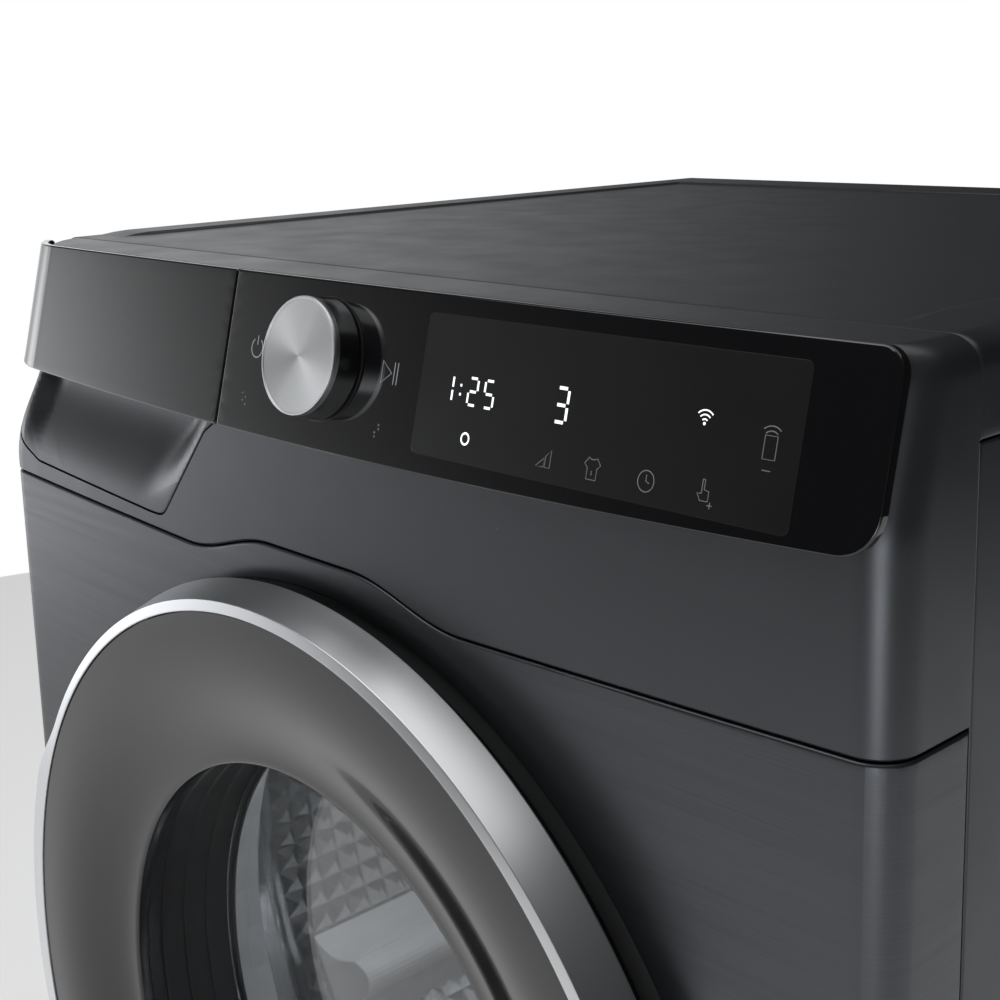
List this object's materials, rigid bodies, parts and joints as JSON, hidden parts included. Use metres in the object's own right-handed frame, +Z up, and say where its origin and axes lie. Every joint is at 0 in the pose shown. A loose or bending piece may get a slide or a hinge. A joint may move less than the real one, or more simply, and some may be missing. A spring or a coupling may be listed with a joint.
{
  "type": "clothes dryer",
  "caption": "Front-loading heat-pump clothes dryer with a round door, tilted glass control panel with knob, and a pull-out water tank.",
  "frame": {"origin": "on the floor, under the middle of the machine's outer box", "axes": "+Z up, front towards -Y, +X to the right seen from the front"},
  "size_m": [0.6, 0.634, 0.85],
  "materials": {
    "graphite_casing": "satin metallic graphite with fine horizontal brushing",
    "graphite_cabinet": "satin metallic graphite",
    "black_glass": "piano black gloss",
    "black_plastic": "fine moulded black",
    "base_plastic": "coarse moulded black",
    "satin_metal": "satin spun metal",
    "clear_glass": "clear polished",
    "stainless": "polished stainless",
    "zinc_steel": "galvanised sheet",
    "grey_plastic": "moulded grey",
    "white_plastic": "moulded off-white",
    "rubber": "matte rubber",
    "felt": "grey wool felt and fine mesh",
    "fins": "bare aluminium fins",
    "compressor_paint": "black stove enamel",
    "copper": "drawn copper"
  },
  "bodies": {
    "cabinet": {"base_tray": "base_plastic", "side_panel_left": "graphite_cabinet", "side_panel_right": "graphite_cabinet", "rear_panel": "zinc_steel", "cord_inlet": "black_plastic", "drain_spigot": "black_plastic", "top_cover": "graphite_cabinet", "front_panel": "graphite_casing", "air_grille": "black_plastic", "control_fascia": "graphite_casing", "control_glass": "black_glass", "display_module": "black_plastic", "control_board_box": "grey_plastic", "tank_housing": "white_plastic", "hinge_bracket": "zinc_steel", "hinge_pin": "stainless", "latch_housing": "black_plastic", "front_bulkhead": "grey_plastic", "rear_bulkhead": "zinc_steel", "front_drum_seal": "felt", "door_gasket": "rubber", "drum_lamp": "clear_glass", "moisture_sensor": "grey_plastic", "motor_housing": "zinc_steel", "fan_housing": "grey_plastic", "exchanger_duct": "grey_plastic", "evaporator": "fins", "condenser": "fins", "compressor": "compressor_paint", "refrigerant_pipe": "copper", "condensate_pump": "black_plastic", "pump_hose": "rubber", "drive_belt": "rubber"},
    "door": {"door_ring": "satin_metal", "door_funnel": "black_glass", "door_inner_liner": "black_plastic", "door_window": "clear_glass", "door_hinge_leaf": "zinc_steel", "door_hook": "zinc_steel"},
    "knob": {"program_knob": "satin_metal"},
    "tank_drawer": {"drawer_front": "black_glass", "drawer_scoop": "graphite_casing", "water_tank": "white_plastic"},
    "lint_filter": {"lint_filter_frame": "black_plastic", "lint_filter_mesh": "felt"},
    "filter_flap": {"filter_flap": "graphite_casing"},
    "drum": {"drum_shell": "stainless", "drum_lifter_1": "grey_plastic", "drum_lifter_2": "grey_plastic", "drum_lifter_3": "grey_plastic"},
    "motor_shaft": {"motor_rotor": "stainless", "fan_wheel": "black_plastic"},
    "idler": {"idler_pulley": "grey_plastic"},
    "left_roller": {"drum_roller_left": "rubber"},
    "right_roller": {"drum_roller_right": "rubber"},
    "front_left_foot": {"foot_front_left": "rubber"},
    "front_right_foot": {"foot_front_right": "rubber"},
    "rear_left_foot": {"foot_rear_left": "rubber"},
    "rear_right_foot": {"foot_rear_right": "rubber"}
  },
  "joints": [
    {"name": "door_swing", "type": "hinge", "parent": "cabinet", "child": "door", "pos_m": [0.2315, -0.305, 0.466], "axis": [0, 0, 1], "range_deg": [0, 125]},
    {"name": "knob_turn", "type": "hinge", "parent": "cabinet", "child": "knob", "pos_m": [0.017, -0.28526, 0.8168], "axis": [0, -0.9703, 0.2419], "continuous": true},
    {"name": "tank_drawer_slide", "type": "slide", "parent": "cabinet", "child": "tank_drawer", "axis": [0, -1, 0], "range_m": [0, 0.36]},
    {"name": "lint_filter_lift", "type": "slide", "parent": "cabinet", "child": "lint_filter", "axis": [0, 0, 1], "range_m": [0, 0.12]},
    {"name": "filter_flap_swing", "type": "hinge", "parent": "cabinet", "child": "filter_flap", "pos_m": [-0.268, -0.2836, 0.113], "axis": [0, 0, -1], "range_deg": [0, 100]},
    {"name": "drum_spin", "type": "hinge", "parent": "cabinet", "child": "drum", "pos_m": [0, 0.011, 0.476], "axis": [0, 1, 0], "continuous": true},
    {"name": "motor_spin", "type": "hinge", "parent": "cabinet", "child": "motor_shaft", "pos_m": [0.085, 0, 0.095], "axis": [0, 1, 0], "continuous": true},
    {"name": "idler_spin", "type": "hinge", "parent": "cabinet", "child": "idler", "pos_m": [0.028, -0.034, 0.112], "axis": [0, 1, 0], "continuous": true},
    {"name": "left_roller_spin", "type": "hinge", "parent": "cabinet", "child": "left_roller", "pos_m": [-0.17873, -0.172, 0.24724], "axis": [0, 1, 0], "continuous": true},
    {"name": "right_roller_spin", "type": "hinge", "parent": "cabinet", "child": "right_roller", "pos_m": [0.17873, -0.172, 0.24724], "axis": [0, 1, 0], "continuous": true},
    {"name": "front_left_foot_turn", "type": "hinge", "parent": "cabinet", "child": "front_left_foot", "pos_m": [-0.245, -0.222, 0.013], "axis": [0, 0, 1], "continuous": true},
    {"name": "front_right_foot_turn", "type": "hinge", "parent": "cabinet", "child": "front_right_foot", "pos_m": [0.245, -0.222, 0.013], "axis": [0, 0, 1], "continuous": true},
    {"name": "rear_left_foot_turn", "type": "hinge", "parent": "cabinet", "child": "rear_left_foot", "pos_m": [-0.245, 0.262, 0.013], "axis": [0, 0, 1], "continuous": true},
    {"name": "rear_right_foot_turn", "type": "hinge", "parent": "cabinet", "child": "rear_right_foot", "pos_m": [0.245, 0.262, 0.013], "axis": [0, 0, 1], "continuous": true}
  ],
  "couplings": [
    {"joint": "motor_spin", "follows": "drum_spin", "ratio": 27.8},
    {"joint": "idler_spin", "follows": "drum_spin", "ratio": 13.9},
    {"joint": "left_roller_spin", "follows": "drum_spin", "ratio": -12.182},
    {"joint": "right_roller_spin", "follows": "drum_spin", "ratio": -12.182}
  ]
}
